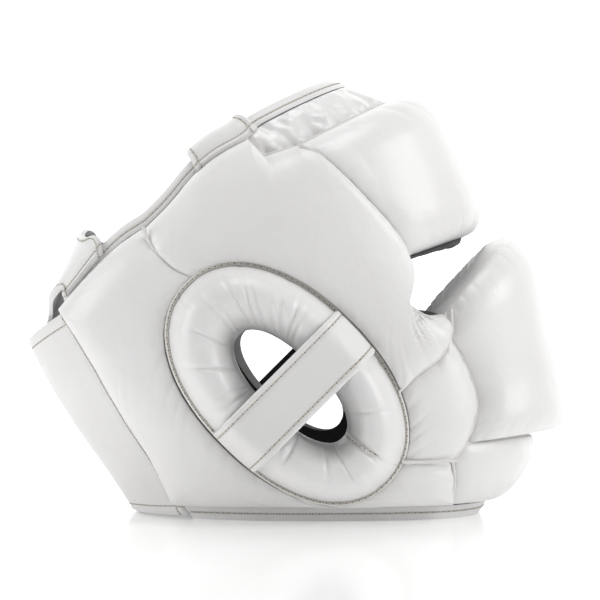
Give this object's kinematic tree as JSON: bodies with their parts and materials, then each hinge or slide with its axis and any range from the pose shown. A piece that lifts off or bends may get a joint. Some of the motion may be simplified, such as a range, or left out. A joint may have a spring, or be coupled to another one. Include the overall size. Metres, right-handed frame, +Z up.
{
  "type": "full face head guard",
  "caption": "Padded leather head guard with a closed face bar, thick forehead pad, oval ear rings with a strap across, crown straps and a wide rear closing strap.",
  "frame": {"origin": "on the ground under the middle of the box round the guard, which stands on its neck edge", "axes": "+X the way the face points, +Y the wearer's left, +Z up"},
  "size_m": [0.2942, 0.2386, 0.2354],
  "materials": {
    "white_leather": "smooth white leather with a soft gloss, creased at the seams",
    "white_strap_leather": "flat white strap leather, folded and stitched along its edges",
    "black_lining": "matte black cloth"
  },
  "bodies": {
    "root": {"temple_pad_right": "white_leather", "temple_pad_left": "white_leather", "side_panel_right": "white_leather", "side_panel_left": "white_leather", "cheek_pad_right": "white_leather", "cheek_pad_left": "white_leather", "forehead_pad": "white_leather", "chin_pad": "white_leather", "face_bar": "white_leather", "ear_ring_right": "white_leather", "ear_ring_left": "white_leather", "crown_panel": "white_leather", "ear_strap_right": "white_strap_leather", "ear_strap_left": "white_strap_leather", "rim_band": "white_strap_leather", "neck_band": "white_strap_leather", "crown_strap": "white_strap_leather", "rear_crown_strap": "white_strap_leather", "rear_strap": "white_strap_leather", "lining_right": "black_lining", "lining_left": "black_lining", "lining_front": "black_lining", "lining_chin": "black_lining"}
  },
  "joints": []
}
